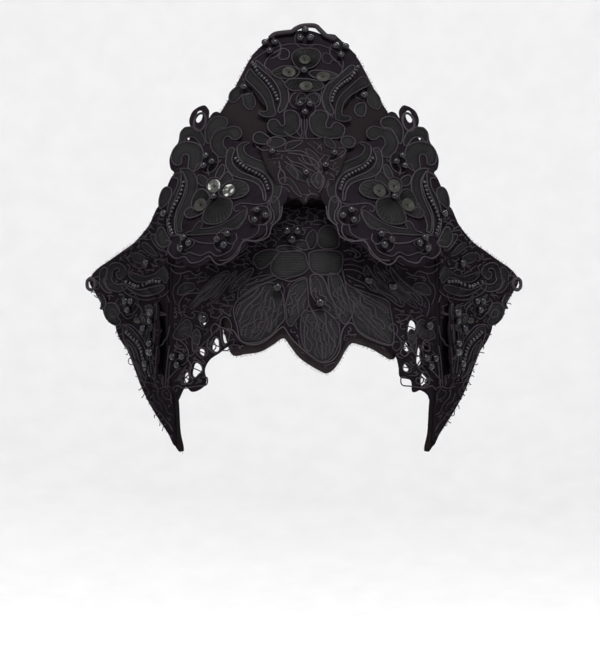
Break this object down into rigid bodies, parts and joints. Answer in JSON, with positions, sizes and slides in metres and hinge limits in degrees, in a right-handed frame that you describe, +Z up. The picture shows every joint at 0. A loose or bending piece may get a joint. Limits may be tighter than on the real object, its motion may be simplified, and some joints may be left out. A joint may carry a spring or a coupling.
{
  "type": "lace crown headpiece",
  "caption": "Tall stiff felt crown with a pointed peak, two shoulder flaps and two side wings, covered in corded beaded lace, worn round the front of the head over a plain band.",
  "frame": {"origin": "centre of the head opening, level with the two lower side points, on the line across the temples", "axes": "+X to the wearer's left, which is the right of the front view, +Y towards the back of the head, +Z up"},
  "size_m": [0.274, 0.1318, 0.2644],
  "materials": {
    "felt": "matt brown-black stiffened felt",
    "lace": "charcoal corded lace on net",
    "cord": "satin-covered cord",
    "petal": "satin petals with dark sequins",
    "bead": "glossy black glass"
  },
  "bodies": {
    "root": {"bead_brow_far_right": "bead", "bead_brow_left": "bead", "bead_brow_middle": "bead", "bead_brow_right": "bead", "bead_crease_left": "bead", "bead_crease_right": "bead", "bead_edge_left": "bead", "bead_edge_right": "bead", "bead_peak_left": "bead", "bead_peak_right": "bead", "bead_side_left": "bead", "bead_side_right": "bead", "bead_sprig_left": "bead", "bead_sprig_lower": "bead", "bead_sprig_right": "bead", "bead_sprig_upper": "bead", "bead_temple_left": "bead", "bead_temple_right": "bead", "brow_felt": "felt", "brow_lace": "lace", "flower_peak": "petal", "flower_shoulder_left": "petal", "flower_shoulder_right": "petal", "flower_wing_left": "petal", "flower_wing_right": "petal", "halo_felt": "felt", "head_band": "felt", "peak_cord": "cord", "peak_lace": "lace", "shoulder_left_lace": "lace", "shoulder_right_lace": "lace", "sprig_lace": "lace", "trio_brow": "bead", "trio_peak_base": "bead", "trio_peak_left": "bead", "trio_peak_right": "bead", "trio_peak_tip": "bead", "trio_shoulder_left_base": "bead", "trio_shoulder_left_inner": "bead", "trio_shoulder_left_outer": "bead", "trio_shoulder_left_tip": "bead", "trio_shoulder_right_base": "bead", "trio_shoulder_right_inner": "bead", "trio_shoulder_right_outer": "bead", "trio_shoulder_right_tip": "bead", "trio_temple_left": "bead", "trio_temple_right": "bead", "trio_wing_left_base": "bead", "trio_wing_left_inner": "bead", "trio_wing_left_tip": "bead", "trio_wing_right_base": "bead", "trio_wing_right_inner": "bead", "trio_wing_right_tip": "bead", "wing_left_lace": "lace", "wing_right_lace": "lace"}
  },
  "joints": []
}
